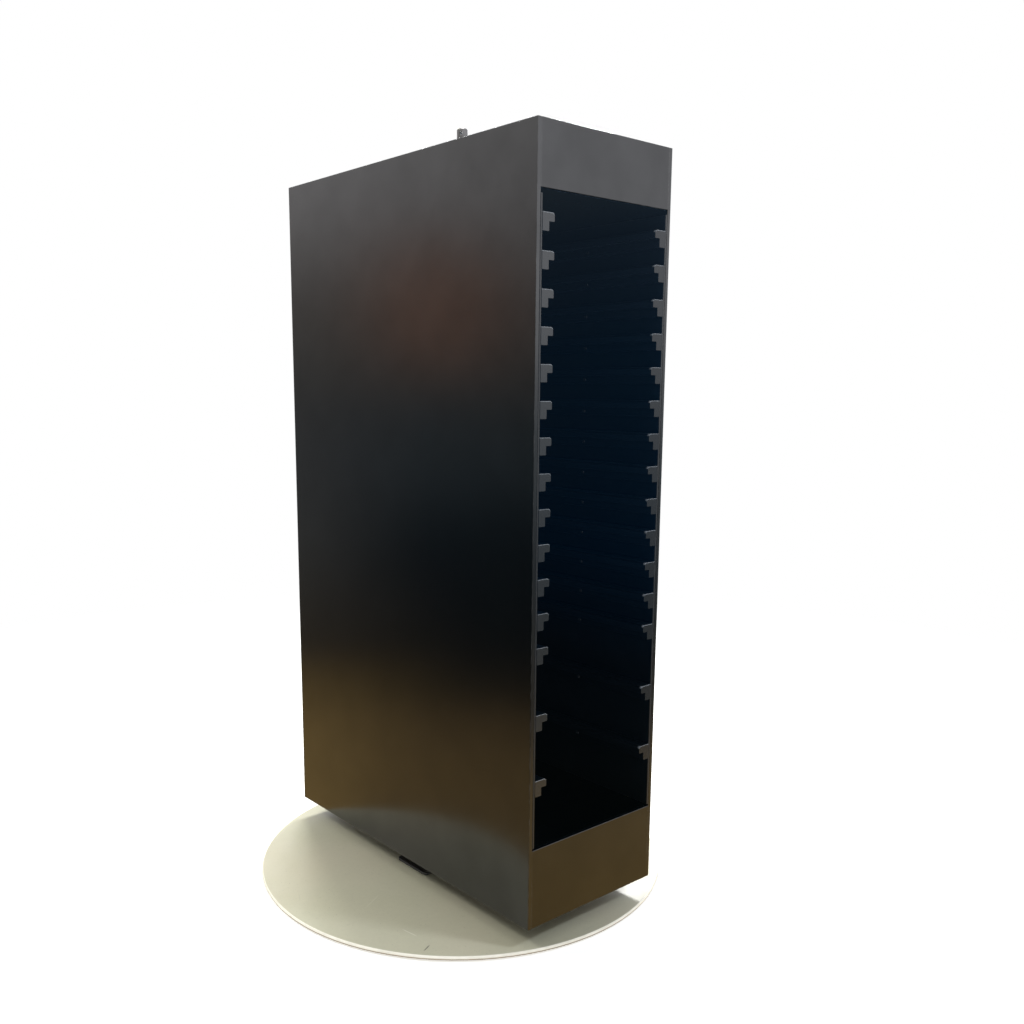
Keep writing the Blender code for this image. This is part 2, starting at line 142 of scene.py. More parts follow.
# The room that glossy surfaces see, by the height of the direction
FRONT_SIDE = Vector((0.73, -0.68, 0.0))
ROOM_HEIGHTS = (-0.1, 0.4)
LEFT_ROOM = (
    (0.00, (0.20, 0.21, 0.22)),
    (0.20, (0.28, 0.28, 0.27)),
    (0.36, (0.40, 0.39, 0.37)),
    (0.56, (1.25, 1.22, 1.24)),
    (1.00, (1.70, 1.70, 1.70)),
)
FRONT_ROOM = (
    (0.00, (0.80, 0.86, 0.92)),
    (0.20, (1.25, 1.32, 1.40)),
    (0.38, (2.17, 2.21, 2.32)),
    (1.00, (2.12, 2.12, 2.24)),
)
PATCH_MIDDLE = Vector((-0.605, 0.79, 0.083))
PATCH_ANGLES = (5.0, 1.0)          # degrees from its middle: where it starts and where it is full
PATCH_COLOUR = (0.95, 0.51, 0.35, 1)
SKY = 0.53                         # what matt surfaces see

# The floor that glossy surfaces see, by the share of FLOOR_FAR from the middle
FLOOR_REACH = 60.0
FLOOR_FAR = 8.0
REAR_FLOOR = (
    (0.06, (0.88, 0.585, 0.22)),
    (0.10, (0.80, 0.53, 0.20)),
    (0.145, (0.52, 0.35, 0.14)),
    (0.19, (0.17, 0.14, 0.10)),
    (0.45, (0.27, 0.27, 0.26)),
    (1.00, (0.25, 0.25, 0.255)),
)
LEFT_FLOOR = (
    (0.07, (0.60, 0.40, 0.165)),
    (0.105, (0.43, 0.29, 0.13)),
    (0.135, (0.08, 0.07, 0.045)),
    (0.18, (0.01, 0.022, 0.03)),
    (0.50, (0.015, 0.045, 0.07)),
    (1.00, (0.14, 0.20, 0.24)),
)
FRONT_FLOOR = (
    (0.05, (0.88, 0.59, 0.225)),
    (0.095, (0.85, 0.60, 0.28)),
    (0.15, (0.30, 0.28, 0.23)),
    (0.35, (0.24, 0.29, 0.32)),
    (1.00, (0.56, 0.65, 0.72)),
)
STEEP_FLOOR = (0.20, 0.19, 0.18, 1)
STEEPNESS = (0.50, 0.80)           # rise of a mirrored ray: where it starts and where it is full

# The floor that the camera sees
FLOOR_TONES = (0.80, 0.82)
FLOOR_LIFT = 0.50
FLOOR_SWEEP = (0.7, 2.2)           # from the middle: where it starts to whiten and where it ends

# Soft boxes: name, place, size, power, tint, whether reflections show it
WHITE = (1.0, 1.0, 1.0)
LIGHT_TARGET = Vector((0.0, 0.0, 0.3))
LIGHTS = (
    ("light_behind", (1.05, 2.6, 2.8), 0.7, 31.0, (1.0, 1.0, 0.72), True),
    ("light_behind_right", (1.7, 2.3, 2.6), 0.6, 37.5, WHITE, True),
    ("light_right", (2.15, 1.8, 1.95), 0.3, 58.0, WHITE, True),
    ("light_overhead", (0.1, 0.0, 2.9), 0.6, 34.5, WHITE, True),
    ("light_left", (-2.0, 1.7, 2.9), 0.9, 47.5, WHITE, False),
    ("light_front", (0.9, -1.9, 2.4), 0.3, 23.0, (0.92, 1.0, 1.18), False),
)


# ---------------------------------------------------------------- node helpers


class Graph:
    """Adds and joins the nodes of one node tree."""

    def __init__(self, tree):
        self.tree = tree
        tree.nodes.clear()

    def feed(self, socket, value):
        """Links a socket to another one, or sets its value."""
        if isinstance(value, bpy.types.NodeSocket):
            self.tree.links.new(value, socket)
        else:
            socket.default_value = value

    def node(self, kind, inputs=None, **settings):
        made = self.tree.nodes.new(kind)
        for name, value in settings.items():
            setattr(made, name, value)
        for name, value in (inputs or {}).items():
            self.feed(made.inputs[name], value)
        return made

    def math(self, operation, a, b=0.0):
        return self.node("ShaderNodeMath", {0: a, 1: b}, operation=operation).outputs[0]

    def plus(self, a, b):
        return self.math("ADD", a, b)

    def times(self, a, b):
        return self.math("MULTIPLY", a, b)

    def absolute(self, value):
        """The value without its sign."""
        return self.math("ABSOLUTE", value)

    def mix(self, factor, a, b):
        made = self.node("ShaderNodeMix", {0: factor, 6: a, 7: b}, data_type="RGBA")
        return made.outputs[2]

    def mix_value(self, factor, a, b):
        return self.node("ShaderNodeMix", {0: factor, 2: a, 3: b}, data_type="FLOAT").outputs[0]

    def spread(self, value, low, high, out_low=0.0, out_high=1.0, smooth=False):
        """value taken from low..high to out_low..out_high, and held at the ends."""
        inputs = {0: value, 1: low, 2: high, 3: out_low, 4: out_high}
        kind = "SMOOTHSTEP" if smooth else "LINEAR"
        return self.node("ShaderNodeMapRange", inputs, interpolation_type=kind).outputs[0]

    def ramp(self, value, stops):
        """A colour ramp through (place, colour) stops."""
        made = self.node("ShaderNodeValToRGB", {0: value})
        elements = made.color_ramp.elements
        for index, (place, colour) in enumerate(stops):
            stop = elements[index] if index < 2 else elements.new(place)
            stop.position = place
            stop.color = (*colour, 1.0)
        return made.outputs[0]

    def part(self, vector, axis):
        """One coordinate of a vector."""
        return self.node("ShaderNodeSeparateXYZ", {0: vector}).outputs[axis]

    def vector(self, operation, a, b=None):
        inputs = {0: a} if b is None else {0: a, 1: b}
        return self.node("ShaderNodeVectorMath", inputs, operation=operation)

    def dot(self, a, b):
        return self.vector("DOT_PRODUCT", a, b).outputs["Value"]

    def length(self, vector):
        return self.vector("LENGTH", vector).outputs["Value"]

    def unit(self, vector):
        return self.vector("NORMALIZE", vector).outputs[0]

    def level(self, vector):
        """The vector with its height taken away."""
        return self.vector("MULTIPLY", vector, (1, 1, 0)).outputs[0]

    def scaled(self, vector, factor):
        inputs = {0: vector, "Scale": factor}
        return self.node("ShaderNodeVectorMath", inputs, operation="SCALE").outputs[0]

    def surface(self, output):
        """What is known of the point being shaded, such as its Position or True Normal."""
        return self.node("ShaderNodeNewGeometry").outputs[output]

    def seen_by(self, kind):
        """1 where a ray of this kind looks and 0 for the rest."""
        return self.node("ShaderNodeLightPath").outputs[f"Is {kind} Ray"]

    def place(self, stretch=(1, 1, 1)):
        """Where a point is on its own piece, in metres, with each axis stretched."""
        here = self.node("ShaderNodeTexCoord").outputs["Object"]
        return self.node("ShaderNodeMapping", {"Vector": here, "Scale": stretch}).outputs[0]

    def noise(self, scale, detail=3.0, roughness=0.5, stretch=(1, 1, 1), distortion=0.0):
        inputs = {
            "Vector": self.place(stretch),
            "Scale": scale,
            "Detail": detail,
            "Roughness": roughness,
            "Distortion": distortion,
        }
        return self.node("ShaderNodeTexNoise", inputs).outputs[0]

    def bump(self, height, distance, strength=1.0, under=None):
        inputs = {"Height": height, "Distance": distance, "Strength": strength}
        if under is not None:
            inputs["Normal"] = under
        return self.node("ShaderNodeBump", inputs).outputs[0]

    def bevel(self, radius):
        """The surface's direction, as if its edges were rounded."""
        return self.node("ShaderNodeBevel", {"Radius": radius}, samples=4).outputs[0]

    def edge(self, radius):
        """1 on a sharp edge and 0 on a flat face."""
        return self.spread(self.dot(self.bevel(radius), self.surface("Normal")), 0.98, 0.80)

    def emission(self, colour, strength=1.0):
        return self.node("ShaderNodeEmission", {"Color": colour, "Strength": strength}).outputs[0]

    def finish(self, haze_glow=None, **inputs):
        """A Principled shader on the material's output, with a faint painted glow emitted from it
        where one is given.
        """
        named = {name.replace("_", " "): value for name, value in inputs.items()}
        if haze_glow is not None:
            named.update({"Emission Color": haze_glow, "Emission Strength": 1.0})
        shader = self.node("ShaderNodeBsdfPrincipled", named)
        self.node("ShaderNodeOutputMaterial", {"Surface": shader.outputs[0]})


def new_material(name):
    """A material and its graph. What little a material emits isn't sampled as a light."""
    made = bpy.data.materials.new(name)
    made.use_nodes = True
    made.cycles.emission_sampling = "NONE"
    return made, Graph(made.node_tree)


def grey(value):
    return (value, value, value, 1.0)


# ---------------------------------------------------------------- finishes


def inside_share(g):
    """1 on faces inside the cabinet, behind the fascias, and 0 outside."""
    low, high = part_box("side_panel_left")[0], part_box("side_panel_right")[1]
    here = g.place()
    share = 1.0
    for axis, inset in enumerate(INSIDE):
        middle = (low[axis] + high[axis]) / 2
        reach = (high[axis] - low[axis]) / 2 - inset
        away = g.absolute(g.math("SUBTRACT", g.part(here, axis), middle))
        share = g.times(share, g.spread(away, reach, reach - INSIDE_FADE))
    return share


def inside_painted_light(g, gain):
    """Painted light and shade on the surfaces inside, by height: near black low down and slate blue
    at the top.
    """
    low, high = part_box("side_panel_left")
    height = g.part(g.surface("Position"), 2)
    stops = [(place, tuple(gain * part for part in colour)) for place, colour in INSIDE_PAINTED_LIGHT]
    return g.ramp(g.spread(height, low.z, high.z), stops)


def inside_haze_glow(g, share=1.0):
    """A painted glow: the faint haze that the lens lays evenly over everything inside the cabinet,
    emitted by the surfaces there.
    """
    return g.mix(share, (0, 0, 0, 1), inside_painted_light(g, HAZE_GLOW_GAIN))


def end_share(g):
    """1 on faces towards the cabinet's front or rear and 0 on the rest."""
    return g.spread(g.absolute(g.part(g.surface("True Normal"), 1)), 0.3, 0.5)


def upward_share(g):
    """1 on faces that look up and 0 on the rest."""
    return g.spread(g.part(g.surface("True Normal"), 2), 0.3, 0.6)


def sheet_edge_sheen(g):
    """1 on the upright edges of the side panels, where a painted sheen goes, and 0 elsewhere."""
    inner = -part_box("side_panel_left")[1].x
    start, full = EDGE_SHEEN_BAND
    away = g.absolute(g.part(g.place(), 0))
    return g.times(end_share(g), g.spread(away, inner - start, inner - full))


def panel_paint():
    """Black satin paint on flat sheet: faint orange peel, handling smears, and rubbed edges with a
    painted highlight along them. Inside the cabinet it carries painted light and a painted glow,
    and its front and rear edges a painted sheen.
    """
    made, g = new_material("satin_black_panel")
    cloud = g.noise(5.0, 4.0, 0.55)
    colour = g.mix(cloud, (0.0008, 0.0010, 0.0012, 1), (0.0018, 0.0019, 0.0020, 1))
    inside = inside_share(g)
    # Inside the cabinet the colour is painted light and shade, lighter towards the top.
    colour = g.mix(inside, colour, inside_painted_light(g, SHEET_GAIN))
    # Rubbed edges, partly wear and partly a painted highlight along the sheets' rounded edges.
    wear = g.times(g.edge(0.0012), g.spread(g.noise(90.0, 3.0), 0.4, 0.7))
    colour = g.mix(g.times(wear, 0.7), colour, grey(0.15))
    smears = g.spread(g.noise(2.2, 5.0, 0.6, (1, 1, 0.35), 0.6), 0.35, 0.75, 0.0, 0.035)
    grain = g.spread(g.noise(420.0, 2.0), 0.3, 0.7, 0.0, 0.03)
    roughness = g.plus(g.plus(smears, grain), 0.145)
    roughness = g.plus(roughness, g.times(wear, 0.15))
    sheen = g.spread(g.noise(16.0, 4.0, 0.6), 0.3, 0.7, 0.45, 0.55)
    # A painted sheen on the side panels' front and rear edges.
    sheen = g.plus(sheen, g.times(sheet_edge_sheen(g), 0.10))
    peel = g.bump(g.noise(650.0, 2.0), 0.00002, 0.3)
    # The faces inside the cabinet emit a painted glow.
    haze_glow = inside_haze_glow(g, inside)
    g.finish(haze_glow, Base_Color=colour, Roughness=roughness, Specular_IOR_Level=sheen, Normal=peel)
    return made


def liner_paint():
    """The inner sheets' duller black, with painted light that lightens it a little towards the top
    of the cabinet, under a painted glow.
    """
    made, g = new_material("dull_black_liner")
    ends = end_share(g)
    # The inner faces carry painted light and shade by height; the sheets' edges keep their own dark
    # grey.
    colour = g.mix(ends, inside_painted_light(g, SHEET_GAIN), (0.010, 0.011, 0.012, 1))
    dust = g.spread(g.noise(26.0, 5.0, 0.6), 0.5, 0.8, 0.0, 0.15)
    colour = g.mix(dust, colour, (0.016, 0.026, 0.038, 1))
    wear = g.times(g.edge(0.001), g.spread(g.noise(120.0, 3.0), 0.35, 0.65))
    colour = g.mix(g.times(wear, 0.4), colour, grey(0.12))
    roughness = g.spread(g.noise(60.0, 3.0), 0.3, 0.7, 0.30, 0.38)
    peel = g.bump(g.noise(800.0, 2.0), 0.00003, 0.5)
    # The inner faces emit a painted glow; the edges don't.
    haze_glow = inside_haze_glow(g, g.math("SUBTRACT", 1.0, ends))
    g.finish(haze_glow, Base_Color=colour, Roughness=roughness, Normal=peel)
    return made


def top_edge_highlight(g):
    """1 along a rail's upper edges near its sawn end, where a painted highlight goes."""
    rise = g.part(g.bevel(TOP_HIGHLIGHT_ROUNDING), 2)
    tilted = g.times(g.spread(rise, 0.12, 0.45), g.spread(rise, 0.995, 0.93))
    depth = g.absolute(g.part(g.place(), 1))
    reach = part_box("rail_left_01")[1].y
    start, full = TOP_HIGHLIGHT_BAND
    return g.times(tilted, g.spread(depth, reach - start, reach - full))


def rail_finish():
    """Black anodised extrusion: fine lines along the bar, with the sawn ends a shade lighter.
    Painted light and shade on its sides and ledge tops, a painted highlight along its upper edges
    near the sawn end, a painted sheen on the left rails' sawn ends, and a painted glow inside.
    """
    made, g = new_material("black_anodised_rail")
    lines = g.noise(900.0, 2.0, 0.5, (1, 0.01, 1))
    sawn = end_share(g)
    # Painted light and shade: a rail's sides are painted lighter and its ledge tops darker, both
    # lighter towards the top of the cabinet.
    ledge = upward_share(g)
    tone = g.mix(ledge, inside_painted_light(g, WEB_GAIN), inside_painted_light(g, LEDGE_GAIN))
    colour = g.mix(g.spread(lines, 0.3, 0.7, 0.0, 0.2), tone, (0.004, 0.008, 0.012, 1))
    colour = g.mix(sawn, colour, (0.008, 0.010, 0.012, 1))
    # A painted highlight along the rail's upper edges near its sawn end, broken up a little.
    painted_highlight = g.times(top_edge_highlight(g), g.spread(g.noise(150.0, 3.0), 0.2, 0.6, 0.6, 1.0))
    colour = g.mix(painted_highlight, colour, (0.32, 0.35, 0.38, 1))
    roughness = g.mix_value(sawn, g.spread(lines, 0.3, 0.7, 0.32, 0.42), 0.27)
    marks = g.bump(lines, 0.00003, 0.5)
    teeth = g.noise(1500.0, 2.0, 0.5, (0.2, 1, 1))
    saw = g.bump(teeth, 0.00003, g.times(sawn, 0.5), marks)
    # Painted sheen: the left rails' sawn ends reflect more than the right rails'. The ledge tops
    # reflect less than the sides, as painted shade.
    across = g.spread(g.part(g.place(), 0), -0.03, 0.03, 0.56, 0.36)
    sheen = g.mix_value(sawn, g.mix_value(ledge, 0.35, 0.15), across)
    # The rail emits a painted glow, but its sawn ends don't.
    haze_glow = inside_haze_glow(g, g.math("SUBTRACT", 1.0, sawn))
    g.finish(haze_glow, Base_Color=colour, Roughness=roughness, Specular_IOR_Level=sheen, Normal=saw)
    return made


def scuff(g, x, y, turn, length, width):
    """1 on a thin straight mark at x, y on the floor plate's top, and 0 elsewhere."""
    inputs = {"Vector": g.place(), "Location": (-x, -y, 0.0)}
    moved = g.node("ShaderNodeMapping", inputs).outputs[0]
    inputs = {"Vector": moved, "Rotation": (0, 0, -radians(turn))}
    turned = g.node("ShaderNodeMapping", inputs).outputs[0]
    along = g.spread(g.absolute(g.part(turned, 0)), length / 2, length / 4)
    across = g.spread(g.absolute(g.part(turned, 1)), width, width / 4)
    return g.times(along, across)


def rim_highlight_and_shade(g, colour):
    """The plate's rim: a painted highlight on the upper rounding and painted shade below it."""
    low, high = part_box("base_plate")
    start, full = RIM_HIGHLIGHT_BAND
    outer = g.spread(g.length(g.place((1, 1, 0))), high.x - start, high.x - full)
    # Painted highlight on the rim's upper rounding, a little patchy.
    patchy = g.spread(g.noise(45.0, 3.0), 0.3, 0.6, 0.75, 1.0)
    colour = g.mix(g.times(outer, patchy), colour, (0.93, 0.90, 0.78, 1))
    # Painted shade on the lower part of the rim.
    start, full = RIM_SHADE_BAND
    painted_rim_shade = g.spread(g.part(g.place(), 2), low.z + start, low.z + full)
    return g.mix(g.times(outer, painted_rim_shade), colour, (0.30, 0.235, 0.165, 1))


def base_paint():
    """Cream powder coat on the floor plate: fine texture, mottling, dust and a few scuffs, with a
    painted highlight and painted shade on its rim and a painted reflection, brighter where the
    sheets mirror it.
    """
    made, g = new_material("cream_powder_coat")
    broad = g.noise(7.0, 4.0, 0.55)
    fine = g.noise(160.0, 3.0, 0.6)
    colour = g.mix(broad, (0.47, 0.460, 0.326, 1), (0.535, 0.512, 0.388, 1))
    colour = g.mix(g.spread(fine, 0.35, 0.75, 0.0, 0.22), colour, (0.41, 0.40, 0.30, 1))
    blush = g.spread(g.noise(3.4, 2.0), 0.46, 0.66, 0.0, 0.4)
    colour = g.mix(blush, colour, (0.54, 0.482, 0.362, 1))
    specks = g.spread(g.noise(380.0, 1.0), 0.70, 0.76, 0.0, 0.5)
    colour = g.mix(specks, colour, (0.30, 0.28, 0.22, 1))
    for x, y, turn, length, width, strength, tone in SCUFFS:
        mark = g.times(scuff(g, x, y, turn, length, width), strength)
        colour = g.mix(mark, colour, (tone, tone * 0.97, tone * 0.86, 1))
    colour = rim_highlight_and_shade(g, colour)
    # Painted reflection: the plate looks brighter where the sheets mirror it.
    colour = g.mix(g.seen_by("Glossy"), colour, g.scaled(colour, PLATE_MIRROR_GAIN))
    roughness = g.spread(g.noise(35.0, 4.0), 0.3, 0.7, 0.34, 0.46)
    texture = g.bump(g.noise(900.0, 2.0, 0.6), 0.00006, 0.5)
    g.finish(Base_Color=colour, Roughness=roughness, Normal=texture)
    return made


def turned_steel(name, tone, roughness):
    """Turned metal: fine rings round the axis, tarnish and bright rubbed edges."""
    made, g = new_material(name)
    lines = g.noise(1400.0, 2.0, 0.5, (0.02, 0.02, 1))
    tarnish = g.noise(60.0, 4.0, 0.6)
    dark = (tone[0] * 0.55, tone[1] * 0.53, tone[2] * 0.52, 1)
    colour = g.mix(g.spread(tarnish, 0.4, 0.7, 0.0, 0.7), (*tone, 1), dark)
    bright = tuple(min(1.0, 1.35 * part) for part in tone)
    colour = g.mix(g.times(g.edge(0.0008), 0.5), colour, (*bright, 1))
    rough = g.plus(g.spread(lines, 0.3, 0.7, -0.05, 0.07), roughness)
    marks = g.bump(lines, 0.00002, 0.6)
    g.finish(Base_Color=colour, Roughness=rough, Metallic=1.0, Normal=marks)
    return made


def painted_steel():
    """Flat black paint on the bar and hub, chipped a little at the edges."""
    made, g = new_material("flat_black_paint")
    fine = g.noise(300.0, 3.0)
    colour = g.mix(fine, grey(0.004), grey(0.010))
    wear = g.times(g.edge(0.001), g.spread(g.noise(200.0, 3.0), 0.5, 0.7))
    colour = g.mix(g.times(wear, 0.5), colour, (0.12, 0.12, 0.11, 1))
    roughness = g.spread(fine, 0.3, 0.7, 0.42, 0.58)
    texture = g.bump(g.noise(1100.0, 2.0), 0.00005, 0.6)
    g.finish(Base_Color=colour, Roughness=roughness, Normal=texture)
    return made


def rubber():
    """Moulded rubber: dull, slightly dusty, with a fine pebble."""
    made, g = new_material("pad_rubber")
    dust = g.spread(g.noise(140.0, 4.0, 0.6), 0.45, 0.75, 0.0, 0.4)
    colour = g.mix(dust, (0.018, 0.018, 0.018, 1), (0.075, 0.072, 0.066, 1))
    cells = g.node("ShaderNodeTexVoronoi", {"Vector": g.place(), "Scale": 900.0})
    pebble = g.bump(cells.outputs["Distance"], 0.0001, 0.5)
    roughness = g.spread(dust, 0.0, 0.4, 0.68, 0.85)
    g.finish(Base_Color=colour, Roughness=roughness, Normal=pebble)
    return made


def screw_finish():
    """Black-oxide steel, brighter where a key has rubbed it, under the painted glow of the
    cabinet's inside.
    """
    made, g = new_material("black_oxide_screw")
    fine = g.noise(700.0, 3.0)
    colour = g.mix(fine, (0.022, 0.026, 0.030, 1), (0.046, 0.051, 0.056, 1))
    colour = g.mix(g.times(g.edge(0.0004), 0.7), colour, (0.19, 0.195, 0.20, 1))
    roughness = g.spread(fine, 0.3, 0.7, 0.30, 0.45)
    marks = g.bump(fine, 0.00003, 0.4)
    # The screws emit the same painted glow as the inside of the cabinet.
    g.finish(inside_haze_glow(g), Base_Color=colour, Roughness=roughness, Metallic=0.85, Normal=marks)
    return made


def dress_frame(frame):
    """Gives every CAD node its finish, by the record's material slots."""
    finishes = {
        "panel": panel_paint(),
        "liner": liner_paint(),
        "rail": rail_finish(),
        "base_paint": base_paint(),
        "black_steel": painted_steel(),
        "pad_rubber": rubber(),
        "spindle_steel": turned_steel("dark_turned_steel", (0.13, 0.127, 0.125), 0.36),
        "bearing_steel": turned_steel("bearing_steel", (0.56, 0.57, 0.58), 0.20),
        "bronze": turned_steel("sintered_bronze", (0.48, 0.27, 0.11), 0.38),
    }
    for node in frame["nodes"].values():
        for slot in node.material_slots:
            slot.material = finishes[slot.material.name.split(".")[0]]
    return finishes


# ---------------------------------------------------------------- small fixings


def circle(radius, segments):
    """Points evenly spread round a circle."""
    angles = [2 * pi * index / segments for index in range(segments)]
    return [(radius * cos(angle), radius * sin(angle)) for angle in angles]


def hexagon(radius, segments):
    """Points evenly spread by angle round a hexagon."""
    points = []
    for index in range(segments):
        angle = 2 * pi * index / segments
        from_flat = (angle + pi / 6) % (pi / 3) - pi / 6
        reach = radius * cos(pi / 6) / cos(from_flat)
        points.append((reach * cos(angle), reach * sin(angle)))
    return points


def stack_solid(name, outlines, crease):
    """A closed mesh whose side joins outlines of equally many points, flat at both ends."""
    shape = bmesh.new()
    rings = [[shape.verts.new(point) for point in outline] for outline in outlines]
    for lower, upper in zip(rings, rings[1:]):
        for i in range(len(lower)):
            j = (i + 1) % len(lower)
            shape.faces.new((lower[i], lower[j], upper[j], upper[i]))
    shape.faces.new(list(reversed(rings[0])))
    shape.faces.new(rings[-1])
    bmesh.ops.recalc_face_normals(shape, faces=shape.faces)
    mesh = bpy.data.meshes.new(name)
    shape.to_mesh(mesh)
    shape.free()
    mesh.shade_smooth()
    mesh.set_sharp_from_angle(angle=radians(crease))
    return mesh


def button_head_mesh(name, radius, height):
    """A domed screw head with a hexagon socket. It sits on z = 0 and rises along +Z."""
    outlines = []
    for share, rise in DOME:
        dome = circle(radius * share, SCREW_SEGMENTS)
        outlines.append([(x, y, height * rise) for x, y in dome])
    socket = hexagon(radius * SOCKET_REACH, SCREW_SEGMENTS)
    for rise in (1.0, SOCKET_FLOOR):
        outlines.append([(x, y, height * rise) for x, y in socket])
    return stack_solid(name, outlines, SCREW_CREASE)


def add_object(name, data):
    made = bpy.data.objects.new(name, data)
    bpy.context.scene.collection.objects.link(made)
    return made


def add_screw(name, mesh, place, direction, body):
    """A screw head at place, rising along direction, that moves with body."""
    screw = add_object(name, mesh)
    turn = Vector(direction).to_track_quat("Z", "Y").to_matrix().to_4x4()
    screw.matrix_world = Matrix.Translation(place) @ turn
    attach(screw, body)


def add_rail_screws(frame, finish):
    """Two screws through the web of every rail, about a quarter of its length from each end."""
    mesh = button_head_mesh("rail_screw_head", RAIL_SCREW_RADIUS, RAIL_SCREW_HEIGHT)
    mesh.materials.append(finish)
    for name in sorted(frame["nodes"]):
        if not name.startswith("rail_"):
            continue
        low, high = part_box(name)
        side = 1 if low.x > 0 else -1
        web_face = max(abs(low.x), abs(high.x)) - RAIL_WEB
        z = high.z - LEDGE - (high.z - low.z - LEDGE) / 2
        for end, share in RAIL_SCREW_SHARES:
            place = (side * web_face, low.y + (high.y - low.y) * share, z)
            add_screw(f"{name}_screw_{end}", mesh, place, (-side, 0, 0), "cabinet")


def add_bar_screws(finish):
    """Four screws that hold the bar to the floor plate."""
    mesh = button_head_mesh("bar_screw_head", BAR_SCREW_RADIUS, BAR_SCREW_HEIGHT)
    mesh.materials.append(finish)
    low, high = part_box("spindle_foot")
    for number, (x_share, y_share) in enumerate(BAR_SCREW_SHARES, start=1):
        x = low.x + (high.x - low.x) * x_share
        y = low.y + (high.y - low.y) * y_share
        add_screw(f"bar_screw_{number}", mesh, (x, y, high.z), (0, 0, 1), "base")


def add_hub_screws(finish):
    """Four screws up through the hub's flange into the cabinet's bottom plate."""
    mesh = button_head_mesh("hub_screw_head", HUB_SCREW_RADIUS, HUB_SCREW_HEIGHT)
    mesh.materials.append(finish)
    flange_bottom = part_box("hub")[1].z - HUB_FLANGE
    for number in range(HUB_SCREWS):
        angle = radians(HUB_SCREW_START + 360 * number / HUB_SCREWS)
        place = (HUB_SCREW_CIRCLE * cos(angle), HUB_SCREW_CIRCLE * sin(angle), flange_bottom)
        add_screw(f"hub_screw_{number + 1}", mesh, place, (0, 0, -1), "cabinet")


def add_seams(frame, finish):
    """A thin ground weld down each side of each fascia, flush with the sheet."""
    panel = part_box("side_panel_left")
    for name in sorted(frame["nodes"]):
        if not name.startswith("fascia_"):
            continue
        low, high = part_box(name)
        outward = -1 if low.y < 0 else 1
        face = low.y if outward < 0 else high.y
        middle = (panel[1].x + low.x) / 2
        for side, x in (("left", middle), ("right", -middle)):
            outline = seam_outline(x, face, outward)
            ends = (low.z + SEAM_INSET, high.z - SEAM_INSET)
            add_strip(f"{name}_seam_{side}", outline, ends, finish)


def seam_outline(x, face, outward):
    """A seam's section: a low crown that just reaches the fascia's face."""
    points = []
    for step in range(SEAM_STEPS + 1):
        angle = pi * step / SEAM_STEPS
        out = SEAM_DEPTH * sin(angle) - SEAM_DEPTH
        points.append((x + SEAM_HALF_WIDTH * cos(angle), face + outward * out))
    return points


def add_strip(name, outline, ends, finish):
    """An upright closed strip on a flat outline, between two heights, riding on the cabinet."""
    outlines = [[(x, y, z) for x, y in outline] for z in ends]
    mesh = stack_solid(name, outlines, SEAM_CREASE)
    mesh.materials.append(finish)
    strip = add_object(name, mesh)
    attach(strip, "cabinet")


# ---------------------------------------------------------------- stage


def side_share(g, direction):
    """1 towards the front right of the cabinet and 0 towards its left, whatever the height."""
    return g.spread(g.dot(g.unit(g.level(direction)), FRONT_SIDE), -0.6, 0.6, smooth=True)


def left_share(g, here):
    """1 straight out from the left panel and 0 well behind it, for a place on the floor."""
    flat = g.level(here)
    along = g.dot(g.unit(flat), (-1, 0, 0))
    return g.spread(along, 0.48, g.spread(g.length(flat), 1.0, 3.0, 0.76, 0.62))


def warm_patch(g, direction, colour):
    """A faint red-brown patch of the room that shows in the left panel."""
    near = g.dot(direction, PATCH_MIDDLE.normalized())
    start, full = (cos(radians(angle)) for angle in PATCH_ANGLES)
    return g.mix(g.spread(near, start, full, smooth=True), colour, PATCH_COLOUR)


def make_world():
    """Even soft light. Glossy surfaces see a room that is bright above and dim at eye level."""
    world = bpy.data.worlds.new("soft_studio")
    bpy.context.scene.world = world
    world.use_nodes = True
    world.cycles.sampling_method = "NONE"
    g = Graph(world.node_tree)
    direction = g.node("ShaderNodeTexCoord").outputs["Generated"]
    height = g.spread(g.part(direction, 2), *ROOM_HEIGHTS)
    fade = g.spread(g.part(direction, 0), 0.64, 0.74, 1.0, 0.76)
    front = g.scaled(g.ramp(height, FRONT_ROOM), fade)
    room = g.mix(side_share(g, direction), g.ramp(height, LEFT_ROOM), front)
    room = warm_patch(g, direction, room)
    seen = g.mix(g.seen_by("Glossy"), grey(SKY), room)
    seen = g.mix(g.seen_by("Camera"), seen, grey(1.0))
    background = g.node("ShaderNodeBackground", {"Color": seen, "Strength": 1.0})
    g.node("ShaderNodeOutputWorld", {"Surface": background.outputs[0]})


def mirrored_floor(g, here, away):
    """The floor in reflections: warm near the object, dim further out, neutral in steep ones."""
    share = g.spread(away, 0.0, FLOOR_FAR)
    dim = g.mix(left_share(g, here), g.ramp(share, REAR_FLOOR), g.ramp(share, LEFT_FLOOR))
    room = g.mix(side_share(g, here), dim, g.ramp(share, FRONT_FLOOR))
    steep = g.spread(g.part(g.surface("Incoming"), 2), *STEEPNESS, smooth=True)
    return g.emission(g.mix(steep, room, STEEP_FLOOR))


def plain_floor(g, away):
    """The floor as the camera sees it: pale and matt near the object, white further out."""
    grain = g.spread(g.noise(30.0, 4.0), 0.3, 0.7, 0.0, 1.0)
    dull, light = FLOOR_TONES
    matt = g.node("ShaderNodeBsdfDiffuse", {"Color": g.mix(grain, grey(dull), grey(light))})
    lift = g.emission(grey(1.0), FLOOR_LIFT)
    near = g.node("ShaderNodeAddShader", {0: matt.outputs[0], 1: lift}).outputs[0]
    sweep = g.spread(away, *FLOOR_SWEEP, smooth=True)
    return g.node("ShaderNodeMixShader", {0: sweep, 1: near, 2: g.emission(grey(1.0))}).outputs[0]


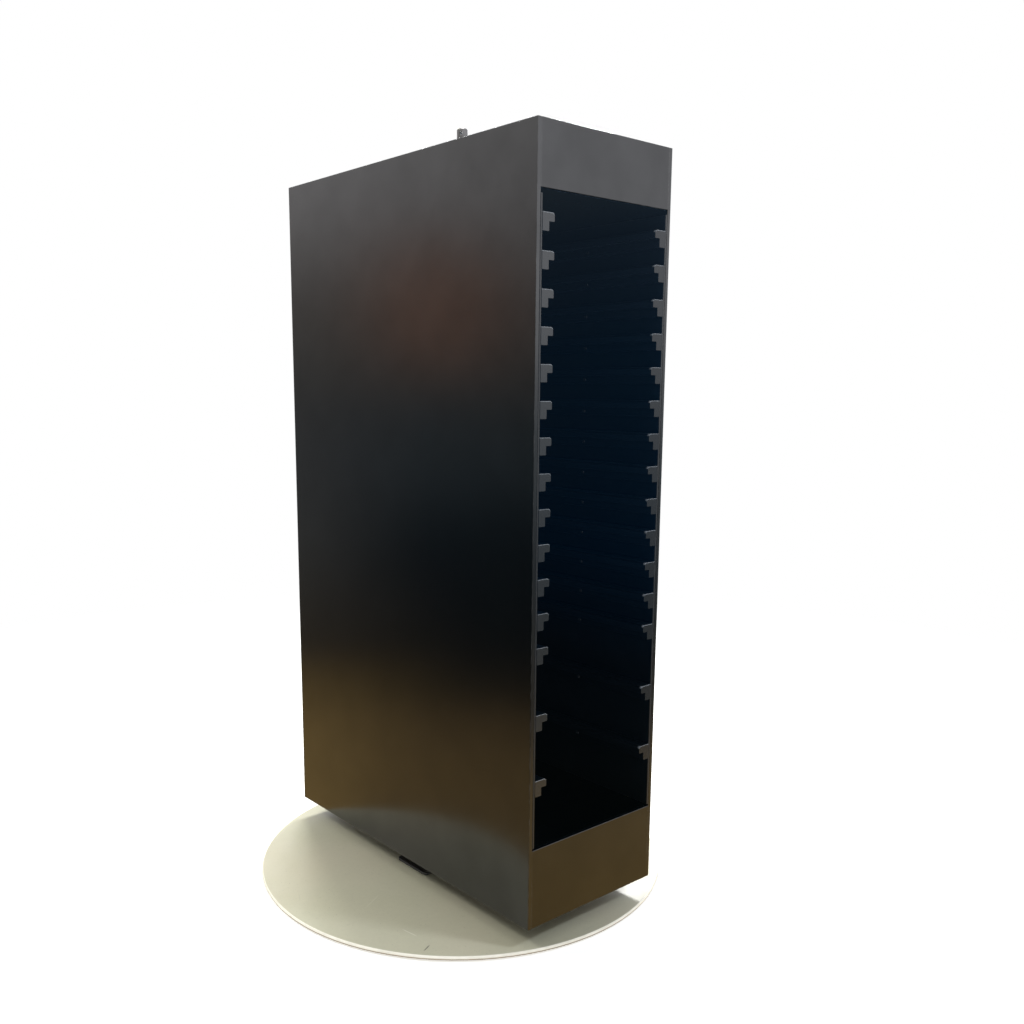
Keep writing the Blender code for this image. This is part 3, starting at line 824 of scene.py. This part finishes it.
def floor_material():
    """A pale matt floor. In reflections it is a warm floor that darkens with distance."""
    made, g = new_material("pale_floor")
    here = g.surface("Position")
    away = g.length(g.level(here))
    inputs = {0: g.seen_by("Glossy"), 1: plain_floor(g, away), 2: mirrored_floor(g, here, away)}
    both = g.node("ShaderNodeMixShader", inputs).outputs[0]
    g.node("ShaderNodeOutputMaterial", {"Surface": both})
    return made


def add_floor():
    """One large square under the object."""
    reach = FLOOR_REACH
    mesh = bpy.data.meshes.new("floor")
    corners = [(-reach, -reach, 0), (reach, -reach, 0), (reach, reach, 0), (-reach, reach, 0)]
    mesh.from_pydata(corners, [], [(0, 1, 2, 3)])
    mesh.materials.append(floor_material())
    add_object("floor", mesh)


def add_soft_box(name, place, size, power, tint, mirrored):
    """A square area light aimed at the object. Reflections leave it out unless it is mirrored."""
    data = bpy.data.lights.new(name, "AREA")
    data.shape = "SQUARE"
    data.size = size
    data.energy = power
    data.color = tint
    light = add_object(name, data)
    light.location = place
    light.visible_glossy = mirrored
    light.rotation_euler = (LIGHT_TARGET - Vector(place)).to_track_quat("-Z", "Y").to_euler()


def add_camera():
    """The camera that the scene is seen through."""
    data = bpy.data.cameras.new("camera")
    data.lens = LENS
    data.sensor_width = SENSOR
    data.shift_x, data.shift_y = SHIFT
    data.clip_start, data.clip_end = CLIP
    camera = add_object("camera", data)
    yaw, pitch, roll = (radians(a) for a in (CAMERA_YAW, CAMERA_PITCH, CAMERA_ROLL))
    forward = Vector((sin(yaw) * cos(pitch), cos(yaw) * cos(pitch), sin(pitch)))
    level = Vector((cos(yaw), -sin(yaw), 0.0))
    above = level.cross(forward)
    right = cos(roll) * level + sin(roll) * above
    up = -sin(roll) * level + cos(roll) * above
    turn = Matrix((right, up, -forward)).transposed().to_4x4()
    camera.matrix_world = Matrix.Translation(CAMERA_PLACE) @ turn
    bpy.context.scene.camera = camera


def main():
    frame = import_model()
    finishes = dress_frame(frame)
    screws = screw_finish()
    add_seams(frame, finishes["panel"])
    add_rail_screws(frame, screws)
    add_bar_screws(screws)
    add_hub_screws(screws)
    make_world()
    add_floor()
    for light in LIGHTS:
        add_soft_box(*light)
    add_camera()
    bpy.context.scene.view_settings.view_transform = "Standard"


main()
